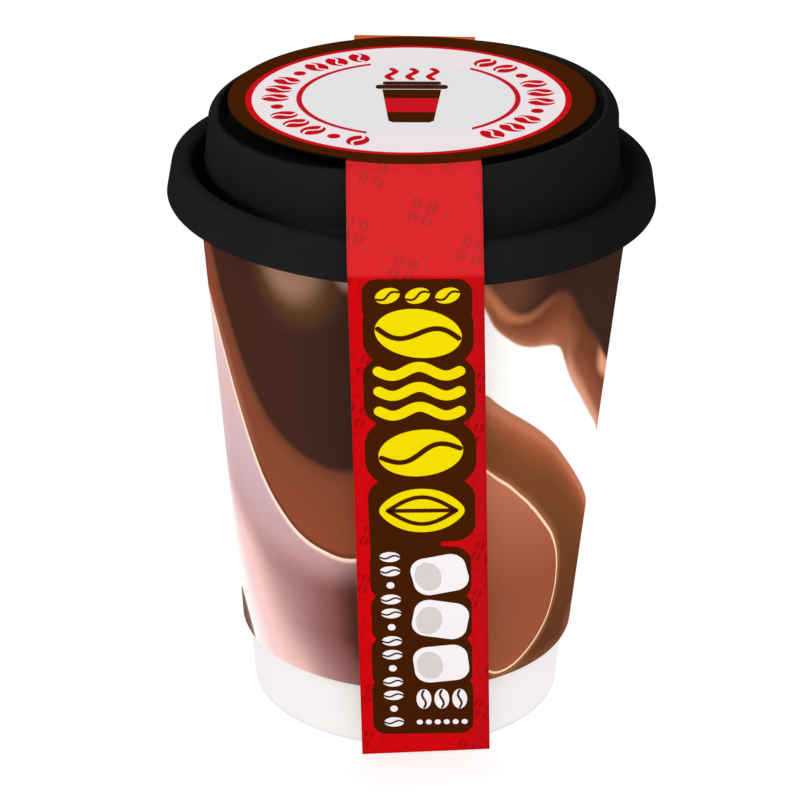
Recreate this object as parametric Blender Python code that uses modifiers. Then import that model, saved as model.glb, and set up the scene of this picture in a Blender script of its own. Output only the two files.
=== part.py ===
"""A shut hot-chocolate cup pack: a double-wall paper cup, its travel lid and a card band.

The cup stands on its foot ring, centred on the origin, with +Z up. The front of the pack faces -Y.
The pack is shut, so the cup and the lid are solid. The band is one piece of card: a round disc
that lies on the lid, with a strip that hangs down the front and another down the back.
"""

import math

import bmesh
import bpy
from mathutils import Vector

MM = 0.001

# Driving dimensions, in millimetres
FIT_GAP = 0.3

FOOT_RADIUS = 31.0
FOOT_BEVEL = (0.3, 0.7)
FOOT_RING_WIDTH = 1.5
FOOT_RECESS_DEPTH = 3.5
CUP_WALL_SLOPE = 0.090
CUP_WALL_TOP = 106.8
CUP_BEAD_RADIUS = 0.8
CUP_BEAD_CENTRE = (43.55, 110.0)
CUP_FLOOR_UNDER_LID = 107.8

SLEEVE_BOTTOM = 14.2
SLEEVE_TOP = 106.4
SLEEVE_BOTTOM_RADIUS = 33.5
SLEEVE_WALL_SLOPE = 0.088
SLEEVE_EDGE_ROUND = 0.45

LID_OFFSET_X = -0.5
LID_PITCH = math.radians(-0.45)
LID_SKIRT_BOTTOM = 105.4
LID_SKIRT_RADIUS = 47.0
LID_LIP_CREST = (43.8, 112.95)
LID_GROOVE_FLOOR = (40.5, 110.5)
LID_DOME_FOOT_RADIUS = 39.95
LID_RIM_CREST_RADIUS = 36.7
LID_RIM_TOP = 124.05
LID_RIM_ROUND = 2.4
LID_RECESS_FLOOR = 121.4
# The dome's top slopes: it rises to the right and a little to the back, from this height upwards
LID_SLOPE_START = 113.2
LID_RISE_RIGHT = math.radians(1.95)
LID_RISE_BACK = math.radians(0.35)
LID_DOME_SHIFT_X = 0.1
LID_UNDERSIDE = 108.5
LID_CHANNEL_CENTRE = (43.55, 110.15)

CARD = 0.45
DISC_RADII = (34.95, 35.7)
DISC_CENTRE = (-0.84, 0.3)
DISC_TOP = 125.1
DISC_TILT = math.radians(0.9)
DISC_SIDE_STEPS = 26

# Centre lines of the two strips on their printed side: start, rim, shoulder, fold and lower end
STRIP_SHOULDER = 112.0
STRIP_FOLD = 108.2
FRONT_STRIP = [
    (-0.2, -35.6, DISC_TOP),
    (-0.1, -39.1, 125.25),
    (0.4, -47.1, STRIP_SHOULDER),
    (0.58, -47.98, STRIP_FOLD),
    (4.4, -34.2, 0.75),
]
BACK_STRIP = [
    (-0.5, 36.2, DISC_TOP),
    (-0.4, 38.8, 124.85),
    (-0.2, 47.1, STRIP_SHOULDER),
    (-0.13, 47.98, STRIP_FOLD),
    (1.5, 34.2, 0.6),
]
STRIP_TOP_WIDTH = 24.3
STRIP_END_WIDTH = 25.2
STRIP_BEND_RADII = [2.0, 2.5, 0.9]
STRIP_BEND_STEPS = 4
STRIP_COLUMNS = 8
FRONT_STRIP_YAW = math.radians(3.5)
BACK_STRIP_YAW = math.radians(-2.5)
FRONT_END_SLOPE = 0.036

ROUND_STEPS = 72
WELD_DISTANCE = 0.00005


def clear_scene():
    for old in list(bpy.data.objects):
        bpy.data.objects.remove(old, do_unlink=True)


def make_collection(name):
    collection = bpy.data.collections.new(name)
    bpy.context.scene.collection.children.link(collection)
    return collection


def make_material(name, colour, roughness):
    material = bpy.data.materials.new(name)
    material.use_nodes = True
    shader = material.node_tree.nodes["Principled BSDF"]
    shader.inputs["Base Color"].default_value = (*colour, 1.0)
    shader.inputs["Roughness"].default_value = roughness
    shader.inputs["Metallic"].default_value = 0.0
    return material


def arc(centre, radius, start_deg, end_deg, steps):
    """Points of an arc in a radius-height plane; 0 degrees points outwards and 90 up."""
    points = []
    for i in range(steps + 1):
        angle = math.radians(start_deg + (end_deg - start_deg) * i / steps)
        points.append((centre[0] + radius * math.cos(angle), centre[1] + radius * math.sin(angle)))
    return points


def add_piece(name, mesh, material, collection):
    mesh.materials.append(material)
    piece = bpy.data.objects.new(name, mesh)
    collection.objects.link(piece)
    return piece


def turned(name, profile, material, collection):
    """A solid of revolution about Z. The profile runs from the top, down its outer side, to the bottom.

    A profile that doesn't start on the axis is a ring's, and closes on itself.
    """
    mesh = bpy.data.meshes.new(name)
    vertices = [(radius * MM, 0.0, height * MM) for radius, height in profile]
    edges = [(i, i + 1) for i in range(len(vertices) - 1)]
    if profile[0][0] > 0.0:
        edges.append((len(vertices) - 1, 0))
    mesh.from_pydata(vertices, edges, [])
    piece = add_piece(name, mesh, material, collection)
    screw = piece.modifiers.new("Turn", "SCREW")
    screw.axis = "Z"
    screw.angle = math.tau
    screw.steps = ROUND_STEPS
    screw.render_steps = ROUND_STEPS
    screw.use_merge_vertices = True
    screw.merge_threshold = WELD_DISTANCE
    screw.use_smooth_shade = True
    return piece


def cup_wall_radius(height):
    return FOOT_RADIUS + CUP_WALL_SLOPE * height


def well_radius():
    return cup_wall_radius(CUP_WALL_TOP) - 0.05


def sleeve_radius(height):
    return SLEEVE_BOTTOM_RADIUS + SLEEVE_WALL_SLOPE * (height - SLEEVE_BOTTOM)


def cup_profile():
    """The white inner cup: a well under the lid, the rolled bead, the plain wall and the foot ring."""
    bead_r, bead_z = CUP_BEAD_CENTRE
    bevel_width, bevel_height = FOOT_BEVEL
    foot_inner = FOOT_RADIUS - FOOT_RING_WIDTH
    well = well_radius()
    profile = [(0.0, CUP_FLOOR_UNDER_LID), (well, CUP_FLOOR_UNDER_LID), (well + 0.6, bead_z - 1.0)]
    profile += arc(CUP_BEAD_CENTRE, CUP_BEAD_RADIUS, 180, -80, 8)
    profile += [
        (bead_r - 1.6, bead_z - 1.5),
        (cup_wall_radius(CUP_WALL_TOP), CUP_WALL_TOP),
        (cup_wall_radius(bevel_height), bevel_height),
        (FOOT_RADIUS - bevel_width, 0.0),
        (foot_inner, 0.0),
        (foot_inner - 0.2, 0.4),
        (foot_inner - 0.1, FOOT_RECESS_DEPTH),
        (0.0, FOOT_RECESS_DEPTH),
    ]
    return profile


def sleeve_profile():
    """The printed outer wrap: a thin cone whose lower edge is rolled in towards the cup."""
    outer_top = sleeve_radius(SLEEVE_TOP)
    inner_top = cup_wall_radius(SLEEVE_TOP) + FIT_GAP
    inner_bottom = cup_wall_radius(SLEEVE_BOTTOM) + FIT_GAP
    edge_r = SLEEVE_BOTTOM_RADIUS - SLEEVE_EDGE_ROUND
    edge_z = SLEEVE_BOTTOM + SLEEVE_EDGE_ROUND
    profile = [(inner_top, SLEEVE_TOP), (outer_top, SLEEVE_TOP)]
    profile += arc((edge_r, edge_z), SLEEVE_EDGE_ROUND, 0, -90, 3)
    profile += [(inner_bottom, SLEEVE_BOTTOM + 0.1)]
    return profile


def lid_point(x, y, z):
    """A point of the lid where it sits on the cup: a little to one side, askew, its dome's top sloped."""
    share = max(0.0, (z - LID_SLOPE_START) / (LID_RIM_TOP - LID_SLOPE_START))
    rise = math.tan(LID_RISE_RIGHT) * x + math.tan(LID_RISE_BACK) * y
    lean = math.tan(LID_PITCH) * x
    return Vector((x + share * LID_DOME_SHIFT_X + LID_OFFSET_X, y, z + share * rise + lean))


def make_lid(material, collection):
    """The lid as a turned mesh whose first and last points lie on the axis, with its top sloped."""
    profile = lid_outer_profile() + lid_under_profile()
    shell = bmesh.new()
    rings = []
    for radius, height in profile[1:-1]:
        ring = []
        for k in range(ROUND_STEPS):
            angle = math.tau * k / ROUND_STEPS
            point = lid_point(radius * math.cos(angle), radius * math.sin(angle), height)
            ring.append(shell.verts.new(point * MM))
        rings.append(ring)
    for upper, lower in zip(rings[:-1], rings[1:]):
        for k in range(ROUND_STEPS):
            n = (k + 1) % ROUND_STEPS
            shell.faces.new([upper[k], lower[k], lower[n], upper[n]])
    for height, ring, upwards in ((profile[0][1], rings[0], True), (profile[-1][1], rings[-1], False)):
        hub = shell.verts.new(lid_point(0.0, 0.0, height) * MM)
        for k in range(ROUND_STEPS):
            n = (k + 1) % ROUND_STEPS
            corners = [hub, ring[k], ring[n]]
            shell.faces.new(corners if upwards else corners[::-1])
    mesh = bpy.data.meshes.new("lid")
    shell.to_mesh(mesh)
    shell.free()
    return add_piece("lid", mesh, material, collection)


def lid_outer_profile():
    """The lid's visible side, from the recess in its top, over the rim and the dome, to the skirt."""
    crest_r = LID_RIM_CREST_RADIUS
    rim_centre = (crest_r, LID_RIM_TOP - LID_RIM_ROUND)
    lip_r, lip_z = LID_LIP_CREST
    groove_r, groove_z = LID_GROOVE_FLOOR
    profile = [
        (0.0, LID_RECESS_FLOOR),
        (crest_r - 1.6, LID_RECESS_FLOOR),
        (crest_r - 0.8, LID_RECESS_FLOOR + 0.6),
    ]
    profile += arc(rim_centre, LID_RIM_ROUND, 100, 0, 8)
    profile += [
        (LID_DOME_FOOT_RADIUS, groove_z + 0.7),
        (LID_DOME_FOOT_RADIUS + 0.2, groove_z + 0.05),
        LID_GROOVE_FLOOR,
        (groove_r + 0.4, groove_z + 0.45),
        (lip_r - 2.1, lip_z - 1.2),
        (lip_r - 0.9, lip_z - 0.35),
        (lip_r, lip_z),
        (lip_r + 1.2, lip_z - 0.2),
        (lip_r + 2.1, lip_z - 0.95),
        (lip_r + 2.6, lip_z - 2.2),
        (LID_SKIRT_RADIUS, LID_SKIRT_BOTTOM + 1.2),
        (LID_SKIRT_RADIUS - 0.1, LID_SKIRT_BOTTOM + 0.4),
        (LID_SKIRT_RADIUS - 0.5, LID_SKIRT_BOTTOM),
    ]
    return profile


def lid_under_profile():
    """The lid's hidden side: the skirt's inner wall, the channel over the cup's bead and the flat plug.

    The lid sits a little to one side and askew, so the channel and the plug leave that much room as well.
    """
    room = FIT_GAP + 0.1 + abs(LID_OFFSET_X)
    channel = CUP_BEAD_RADIUS + room
    channel_outer = LID_CHANNEL_CENTRE[0] + channel
    plug = well_radius() - room
    profile = [(channel_outer + 0.3, LID_SKIRT_BOTTOM), (channel_outer, LID_SKIRT_BOTTOM + 0.6)]
    profile += arc(LID_CHANNEL_CENTRE, channel, 0, 180, 8)
    profile += [(plug + 0.6, LID_UNDERSIDE + 1.2), (plug, LID_UNDERSIDE), (0.0, LID_UNDERSIDE)]
    return profile


def rounded_path(corners, radii, steps):
    """A polyline through 3D corners, each inner corner replaced by an arc of its own radius."""
    points = [corners[0]]
    for i in range(1, len(corners) - 1):
        before = (corners[i - 1] - corners[i]).normalized()
        after = (corners[i + 1] - corners[i]).normalized()
        turn = math.pi - before.angle(after)
        reach = radii[i - 1] * math.tan(turn / 2)
        start = corners[i] + before * reach
        end = corners[i] + after * reach
        centre = corners[i] + (before + after).normalized() * (radii[i - 1] / math.cos(turn / 2))
        for k in range(steps + 1):
            arm = (start - centre).slerp(end - centre, k / steps).normalized()
            points.append(centre + arm * radii[i - 1])
    points.append(corners[-1])
    return points


def tilted(point, share):
    """Lifts a point on the band by the disc's small tilt about Y."""
    return Vector((point.x, point.y, point.z + share * math.tan(DISC_TILT) * point.x))


def strip_rows(centre_line, yaw, end_slope):
    """Rows of points across a strip, from the row next to the disc to the cut lower end."""
    corners = [Vector(corner) for corner in centre_line]
    path = rounded_path(corners, STRIP_BEND_RADII, STRIP_BEND_STEPS)
    across = Vector((math.cos(yaw), math.sin(yaw), 0.0))
    rows = []
    for i, centre in enumerate(path):
        tilt_share = max(0.0, (centre.z - STRIP_FOLD) / (DISC_TOP - STRIP_FOLD))
        rise = end_slope if i == len(path) - 1 else 0.0
        width = STRIP_END_WIDTH + (STRIP_TOP_WIDTH - STRIP_END_WIDTH) * centre.z / DISC_TOP
        row = []
        for column in range(STRIP_COLUMNS + 1):
            side = (column / STRIP_COLUMNS - 0.5) * width
            point = centre + across * side + Vector((0.0, 0.0, rise * side))
            row.append(tilted(point, min(1.0, tilt_share)))
        rows.append(row)
    return rows


def disc_edge_row(front, first_row):
    """The disc's edge points that meet a strip, one for each column of the strip's first row."""
    points = []
    for point in first_row:
        side = (point.x - DISC_CENTRE[0]) / DISC_RADII[0]
        reach = DISC_RADII[1] * math.sqrt(1.0 - side**2)
        y = DISC_CENTRE[1] + (-reach if front else reach)
        points.append(tilted(Vector((point.x, y, DISC_TOP)), 1.0))
    return points


def disc_side_arc(start, end, steps):
    """The disc's free edge between two corner points, going round by the angle between them."""
    centre = Vector((DISC_CENTRE[0], DISC_CENTRE[1], 0.0))
    angle_start = math.atan2((start.y - centre.y) / DISC_RADII[1], (start.x - centre.x) / DISC_RADII[0])
    angle_end = math.atan2((end.y - centre.y) / DISC_RADII[1], (end.x - centre.x) / DISC_RADII[0])
    if angle_end < angle_start:
        angle_end += math.tau
    points = []
    for i in range(1, steps):
        angle = angle_start + (angle_end - angle_start) * i / steps
        x = centre.x + DISC_RADII[0] * math.cos(angle)
        y = centre.y + DISC_RADII[1] * math.sin(angle)
        points.append(tilted(Vector((x, y, DISC_TOP)), 1.0))
    return points


def add_strip(sheet, edge_vertices, rows, front):
    """Faces of one strip, joined to the disc's edge vertices, with their normals outwards."""
    previous = edge_vertices
    for row in rows:
        current = [sheet.verts.new(point * MM) for point in row]
        for k in range(STRIP_COLUMNS):
            corners = [previous[k], current[k], current[k + 1], previous[k + 1]]
            sheet.faces.new(corners if front else corners[::-1])
        previous = current


def make_band(material, collection):
    """The card band as one open sheet on its printed side, thickened inwards."""
    front_rows = strip_rows(FRONT_STRIP, FRONT_STRIP_YAW, FRONT_END_SLOPE)
    back_rows = strip_rows(BACK_STRIP, BACK_STRIP_YAW, 0.0)
    front_edge = disc_edge_row(True, front_rows[0])
    back_edge = disc_edge_row(False, back_rows[0])
    right_arc = disc_side_arc(front_edge[-1], back_edge[-1], DISC_SIDE_STEPS)
    left_arc = disc_side_arc(back_edge[0], front_edge[0], DISC_SIDE_STEPS)

    sheet = bmesh.new()
    front_vertices = [sheet.verts.new(point * MM) for point in front_edge]
    right_vertices = [sheet.verts.new(point * MM) for point in right_arc]
    back_vertices = [sheet.verts.new(point * MM) for point in back_edge]
    left_vertices = [sheet.verts.new(point * MM) for point in left_arc]
    ring = front_vertices + right_vertices + back_vertices[::-1] + left_vertices
    middle = Vector((DISC_CENTRE[0], DISC_CENTRE[1], DISC_TOP + math.tan(DISC_TILT) * DISC_CENTRE[0]))
    hub = sheet.verts.new(middle * MM)
    for i, vertex in enumerate(ring):
        sheet.faces.new([hub, vertex, ring[(i + 1) % len(ring)]])
    add_strip(sheet, front_vertices, front_rows, True)
    add_strip(sheet, back_vertices, back_rows, False)

    mesh = bpy.data.meshes.new("band")
    sheet.to_mesh(mesh)
    sheet.free()
    band = add_piece("band", mesh, material, collection)
    thicken = band.modifiers.new("Card", "SOLIDIFY")
    thicken.thickness = CARD * MM
    thicken.offset = -1.0
    thicken.use_even_offset = True
    thicken.use_rim = True
    return band


def build():
    clear_scene()
    pack = make_collection("hot_chocolate_cup_pack")
    white_paper = make_material("white_paper", (0.86, 0.86, 0.86), 0.6)
    printed_paper = make_material("printed_paper", (0.16, 0.06, 0.03), 0.4)
    black_plastic = make_material("black_plastic", (0.012, 0.012, 0.012), 0.55)
    printed_card = make_material("printed_card", (0.62, 0.01, 0.015), 0.45)
    turned("cup", cup_profile(), white_paper, pack)
    turned("sleeve", sleeve_profile(), printed_paper, pack)
    make_lid(black_plastic, pack)
    make_band(printed_card, pack)


build()
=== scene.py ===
"""The looks of a shut hot-chocolate cup pack: paper cup, printed wrap, black lid and printed card band."""

import math

import bmesh
import bpy
from mathutils import Matrix, Vector


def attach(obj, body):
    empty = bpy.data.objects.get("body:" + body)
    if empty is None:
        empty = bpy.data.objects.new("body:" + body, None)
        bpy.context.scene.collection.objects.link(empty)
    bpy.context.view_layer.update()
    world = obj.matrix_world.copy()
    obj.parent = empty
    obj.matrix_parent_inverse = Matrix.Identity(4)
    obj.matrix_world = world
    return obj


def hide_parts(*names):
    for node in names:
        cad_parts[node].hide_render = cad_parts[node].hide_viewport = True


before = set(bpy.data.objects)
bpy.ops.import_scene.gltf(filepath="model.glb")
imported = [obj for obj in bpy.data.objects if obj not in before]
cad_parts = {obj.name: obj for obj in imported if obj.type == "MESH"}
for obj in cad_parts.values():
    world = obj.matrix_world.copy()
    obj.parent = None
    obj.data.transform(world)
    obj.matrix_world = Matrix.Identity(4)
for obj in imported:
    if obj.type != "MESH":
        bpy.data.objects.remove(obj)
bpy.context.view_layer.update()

MM = 0.001

# The cup and its printed wrap, in millimetres
FOOT_RADIUS = 31.0
FOOT_RING_WIDTH = 1.5
FOOT_RECESS_DEPTH = 3.5
CUP_WALL_SLOPE = 0.090
CUP_WALL_TOP = 106.8
CUP_WELL_STEP = 0.05
CUP_BEAD_RADIUS = 0.8
CUP_BEAD_CENTRE = (43.55, 110.0)
CUP_FLOOR_UNDER_LID = 107.8
WRAP_BOTTOM = 14.2
WRAP_TOP = 106.4
WRAP_BOTTOM_RADIUS = 33.5
WRAP_SLOPE = 0.088
WRAP_ROWS = 24
WRAP_EDGE_ROUND = 0.45
WRAP_LAP_STEP = 0.25
WRAP_LAP_WIDTH_DEG = 12.0
FIT_GAP = 0.3

# The lid sits a little askew, and its dome's top rises to the right and a little to the back.
# The corners of its groove and skirt are (r, z, fillet).
LID_OFFSET_X = -0.5
LID_PITCH = math.radians(-0.45)
LID_CHANNEL_CENTRE = (43.55, 110.15)
LID_UNDERSIDE = 108.5
LID_RIM_CENTRE = (36.7, 121.65)
LID_RIM_ROUND = 2.4
LID_RECESS_FLOOR = 121.4
LID_GROOVE = [(39.98, 110.5, 0.35), (40.55, 110.4, 0.3), (43.2, 113.0, 2.2)]
LID_SKIRT = [
    (45.9, 112.95, 2.3), (47.08, 106.0, 0.6), (46.75, 105.4, 0.35), (45.75, 105.4, 0.2), (45.25, 106.1, 0.0),
]
LID_SLOPE_START = 113.2
LID_RISE_RIGHT = math.radians(1.95)
LID_RISE_BACK = math.radians(0.35)
LID_DOME_SHIFT_X = 0.1
LID_SWELL = 0.36
LID_SWELL_DIRECTION = math.radians(46.0)
LID_SWELL_REACH = math.radians(62.0)
LID_SWELL_RADII = (30.0, 35.0)

# The card band; each strip is a line of points (x, y, z) down its middle
CARD = 0.45
DISC_RADII = (34.95, 35.7)
DISC_CENTRE = (-0.84, 0.3)
DISC_TOP = 125.1
DISC_TILT = math.radians(0.9)
DISC_SIDE_STEPS = 60
DISC_RINGS = (0.985, 0.7, 0.35)
STRIP_SHOULDER = 112.0
STRIP_FOLD = 108.2
FRONT_STRIP = [
    (-0.2, -35.6, DISC_TOP),
    (-0.1, -39.1, 125.25),
    (0.4, -47.1, STRIP_SHOULDER),
    (0.58, -47.98, STRIP_FOLD),
    (4.4, -34.2, 0.75),
]
BACK_STRIP = [
    (-0.5, 36.2, DISC_TOP),
    (-0.4, 38.5, 124.45),
    (-0.2, 47.1, STRIP_SHOULDER),
    (-0.13, 47.98, STRIP_FOLD),
    (1.5, 34.2, 0.6),
]
STRIP_TOP_WIDTH = 24.3
STRIP_END_WIDTH = 25.2
STRIP_BEND_RADII = [2.0, 2.5, 0.9]
STRIP_COLUMNS = 20
FRONT_STRIP_YAW = math.radians(3.5)
BACK_STRIP_YAW = math.radians(-2.5)
FRONT_END_SLOPE = 0.036
END_SLOPE_ROWS = 4

# The print on the disc; the chain's arcs are (start, end, number of marks), in degrees
PRINT_CENTRE = (-1.42, -0.75)
WHITE_FIELD_RADIUS = 29.75
RED_RING_RADIUS = 30.95
CHAIN_RADIUS = 25.3
CHAIN_ARCS = ((113.0, 249.0, 13), (-52.0, 54.0, 10))
DISC_CUP_CENTRE = (-0.82, -0.75)

# The stamps on the strips: the first one's place, the two steps of their lattice, and the cosine and
# sine of their turn. They follow the front strip's lean, and its length over the lid and below the fold.
STAMP_START = (0.9, -11.5)
STAMP_STEPS = ((-3.15, 10.2), (8.9, 7.0))
STAMP_TURN = (0.94, 0.34)
FRONT_LEAN = 0.0356
FRONT_LENGTH_PER_HEIGHT = 1.0088
OVER_LID_EXTRA_LENGTH = 0.16

# The printed shapes are films on the card, and start a little way inside it
FILM = 0.05
FILM_ROOT = -0.12

ROUND_STEPS = 256

# Colours are in display values, 0 to 255
LID_BLACK = (27, 27, 28)
CARD_RED = (201, 9, 15)
CARD_BROWN = (68, 28, 4)
DEEP_BROWN = (62, 25, 3)
CARD_YELLOW = (238, 216, 8)
CARD_WHITE = (240, 236, 240)
PAPER_WHITE = (240, 237, 236)
# painted highlight: copper for the top of the back strip's bend
REAR_BEND_HIGHLIGHT = (200, 92, 42)


def linear(display):
    """A colour given in display values, as linear light."""
    return tuple(((v / 255 + 0.055) / 1.055) ** 2.4 if v > 10 else v / 255 / 12.92 for v in display)


class Field:
    """A number or colour that varies over a surface: a node's output, with arithmetic that adds nodes."""

    def __init__(self, graph, socket):
        self.graph = graph
        self.socket = socket

    def calc(self, operation, *others):
        return self.graph.node("Math", dict(enumerate((self, *others))), 0, operation=operation)

    def __add__(self, other):
        return self.calc("ADD", other)

    def __sub__(self, other):
        return self.calc("SUBTRACT", other)

    def __mul__(self, other):
        return self.calc("MULTIPLY", other)

    def __truediv__(self, other):
        return self.calc("DIVIDE", other)

    def __pow__(self, other):
        return self.calc("POWER", other)

    def __abs__(self):
        return self.calc("ABSOLUTE")

    def step(self, low, high):
        """0 at low and 1 at high, smooth between them; low may be the larger one."""
        ends = (low, high, 0.0, 1.0) if low < high else (high, low, 1.0, 0.0)
        inputs = dict(zip(("From Min", "From Max", "To Min", "To Max"), ends), Value=self)
        return self.graph.node("MapRange", inputs, "Result", interpolation_type="SMOOTHSTEP")

    def within(self, start, full, still_full, end):
        """1 from full to still_full, and fading to 0 at start and end."""
        return self.step(start, full) * self.step(end, still_full)


def length(across, along):
    return (across * across + along * along) ** 0.5


def out_of(u, v, centre, radii):
    """How far out of an oval a point is: 0 at its centre and 1 on its outline."""
    return length((u - centre[0]) / radii[0], (v - centre[1]) / radii[1])


class Graph:
    """A material's node graph; x, y, z and vector are the object's own coordinates, in millimetres."""

    def __init__(self, name, roughness, specular):
        self.material = bpy.data.materials.new(name)
        self.material.use_nodes = True
        self.tree = self.material.node_tree
        self.shader = self.tree.nodes["Principled BSDF"].inputs
        self.shader["Roughness"].default_value = roughness
        self.shader["Specular IOR Level"].default_value = specular
        place = self.node("TexCoord", {}, "Object")
        self.vector = self.node("VectorMath", {0: place, "Scale": 1.0 / MM}, 0, operation="SCALE")
        self.x, self.y, self.z = (self.node("SeparateXYZ", {0: self.vector}, axis) for axis in range(3))

    def put(self, value, socket):
        """Links a field, or sets a number, a vector or a display colour."""
        if isinstance(value, Field):
            self.tree.links.new(value.socket, socket)
        elif socket.type == "RGBA":
            socket.default_value = (*linear(value), 1.0)
        else:
            socket.default_value = value

    def node(self, kind, inputs, output, **settings):
        """The named output of a new node, as a field."""
        node = self.tree.nodes.new("ShaderNode" + kind)
        for name, setting in settings.items():
            setattr(node, name, setting)
        for key, value in inputs.items():
            self.put(value, node.inputs[key])
        return Field(self, node.outputs[output])

    def over(self, base, colour, mask):
        """A colour laid over a base, as strongly as the mask."""
        return self.node("Mix", {0: mask, 6: base, 7: colour}, 2, data_type="RGBA")

    def ramp(self, value, *stops):
        """A colour ramp; stops are (value, red, green, blue)."""
        low, high = stops[0][0], stops[-1][0]
        scaled = self.node("MapRange", {"Value": value, "From Min": low, "From Max": high}, "Result")
        result = self.node("ValToRGB", {"Fac": scaled}, "Color")
        elements = result.socket.node.color_ramp.elements
        while len(elements) < len(stops):
            elements.new(0.5)
        for element, (at, *colour) in zip(elements, stops):
            element.position = (at - low) / (high - low)
            element.color = (*linear(colour), 1.0)
        return result

    def curve(self, value, points, top):
        """A smooth curve through (value, result) points; results run from 0 to top."""
        low, high = points[0][0], points[-1][0]
        result = self.node("FloatCurve", {"Value": (value - low) / (high - low)}, "Value")
        mapping = result.socket.node.mapping
        line = mapping.curves[0]
        for at, level in points[1:-1]:
            line.points.new((at - low) / (high - low), level / top)
        for point, (at, level) in zip(line.points, points):
            point.location = ((at - low) / (high - low), level / top)
            point.handle_type = "AUTO"
        mapping.update()
        return result * top

    def noise(self, per_mm, detail, stretch=(1.0, 1.0, 1.0)):
        vector = self.node("VectorMath", {0: self.vector, 1: stretch}, 0, operation="MULTIPLY")
        return self.node("TexNoise", {"Vector": vector, "Scale": per_mm, "Detail": detail}, "Fac")

    def surface(self, colour, grain, low, high, height, depth_mm):
        """Finishes the material: roughness runs from low to high with the grain, and height is a bump."""
        bump = self.node("Bump", {"Strength": 1.0, "Distance": depth_mm * MM, "Height": height}, "Normal")
        self.put(colour, self.shader["Base Color"])
        self.put(grain * (high - low) + low, self.shader["Roughness"])
        self.put(bump, self.shader["Normal"])
        return self.material

    def paper(self, colour, tone, depth_mm, low, high):
        """A surface with the faint mottle, sheen variation and fibres of coated paper or card."""
        fibre = self.noise(3.2, 4.0)
        light = self.noise(0.35, 3.0) * (-tone * 2) + (1.0 + tone)
        shaded = self.node("VectorMath", {0: colour, "Scale": light}, 0, operation="SCALE")
        return self.surface(shaded, fibre, low, high, fibre, depth_mm)


def arc(centre, radius, start_deg, end_deg, steps):
    points = []
    for i in range(steps + 1):
        angle = math.radians(start_deg + (end_deg - start_deg) * i / steps)
        points.append((centre[0] + radius * math.cos(angle), centre[1] + radius * math.sin(angle)))
    return points


def filleted(corners, steps=6):
    """A profile from (r, z, fillet) corners, each corner with a fillet replaced by a smooth arc."""
    points = []
    for i, (r, z, fillet) in enumerate(corners):
        here = Vector((r, z))
        if fillet <= 0.0 or i in (0, len(corners) - 1):
            points.append((r, z))
            continue
        before = Vector(corners[i - 1][:2]) - here
        after = Vector(corners[i + 1][:2]) - here
        turn = math.pi - before.angle(after)
        reach = min(fillet * math.tan(turn / 2), before.length * 0.49, after.length * 0.49)
        start = here + before.normalized() * reach
        end = here + after.normalized() * reach
        for k in range(steps + 1):
            t = k / steps
            point = start * (1 - t) ** 2 + here * 2 * t * (1 - t) + end * t**2
            points.append((point.x, point.y))
    return points


def add_piece(name, mesh, slot, *nodes):
    """Puts a mesh in the scene as a piece on the one body, in place of its solid."""
    piece = bpy.data.objects.new(name, mesh)
    bpy.context.scene.collection.objects.link(piece)
    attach(piece, "root")
    if nodes:
        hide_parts(*nodes)
    return piece


def shade(mesh, sharp_deg):
    for face in mesh.polygons:
        face.use_smooth = True
    mesh.set_sharp_from_angle(angle=math.radians(sharp_deg))


def revolve(name, profile, angles, shift=None, closed=False):
    """A turned mesh from an (r, z) profile, outer side running downwards.

    shift(angle, r, z) may add a small amount to each radius.
    """
    mesh = bpy.data.meshes.new(name)
    vertices = []
    rings = []
    for r, z in profile:
        if r < 1e-6:
            rings.append([len(vertices)])
            vertices.append((0.0, 0.0, z * MM))
            continue
        ring = []
        for angle in angles:
            radius = r + (shift(angle, r, z) if shift else 0.0)
            ring.append(len(vertices))
            vertices.append((radius * math.cos(angle) * MM, radius * math.sin(angle) * MM, z * MM))
        rings.append(ring)
    faces = []
    count = len(angles)
    pairs = list(zip(rings[:-1], rings[1:]))
    if closed:
        pairs.append((rings[-1], rings[0]))
    for upper, lower in pairs:
        for k in range(count):
            n = (k + 1) % count
            if len(upper) == 1:
                faces.append((upper[0], lower[k], lower[n]))
            elif len(lower) == 1:
                faces.append((upper[k], lower[0], upper[n]))
            else:
                faces.append((upper[k], lower[k], lower[n], upper[n]))
    mesh.from_pydata(vertices, [], faces)
    mesh.validate()
    return mesh


def even_angles():
    return [math.tau * k / ROUND_STEPS for k in range(ROUND_STEPS)]


def cup_wall_radius(height):
    return FOOT_RADIUS + CUP_WALL_SLOPE * height


def cup_well_radius():
    return cup_wall_radius(CUP_WALL_TOP) - CUP_WELL_STEP


def wrap_radius(height):
    return WRAP_BOTTOM_RADIUS + WRAP_SLOPE * (height - WRAP_BOTTOM)


def cup_mesh():
    bead_r, bead_z = CUP_BEAD_CENTRE
    well = cup_well_radius()
    inner = FOOT_RADIUS - FOOT_RING_WIDTH
    top = [(0.0, CUP_FLOOR_UNDER_LID), (well, CUP_FLOOR_UNDER_LID), (well + 0.6, bead_z - 1.0)]
    bead = arc(CUP_BEAD_CENTRE, CUP_BEAD_RADIUS, 180, -80, 12)
    wall = [(bead_r - 1.6, bead_z - 1.5)]
    wall += [(cup_wall_radius(h), h) for h in (CUP_WALL_TOP, 60.0, 14.0, 7.0, 1.6)]
    foot = filleted([
        (cup_wall_radius(1.6), 1.6, 0.0), (FOOT_RADIUS, 0.0, 0.5), (inner, 0.0, 0.35),
        (inner - 0.15, FOOT_RECESS_DEPTH, 0.3), (inner - 2.0, FOOT_RECESS_DEPTH, 0.0),
    ])
    floor = [(r, FOOT_RECESS_DEPTH) for r in (20.0, 10.0, 0.0)]
    return revolve("cup_paper", top + bead + wall + foot[1:] + floor, even_angles())


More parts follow.
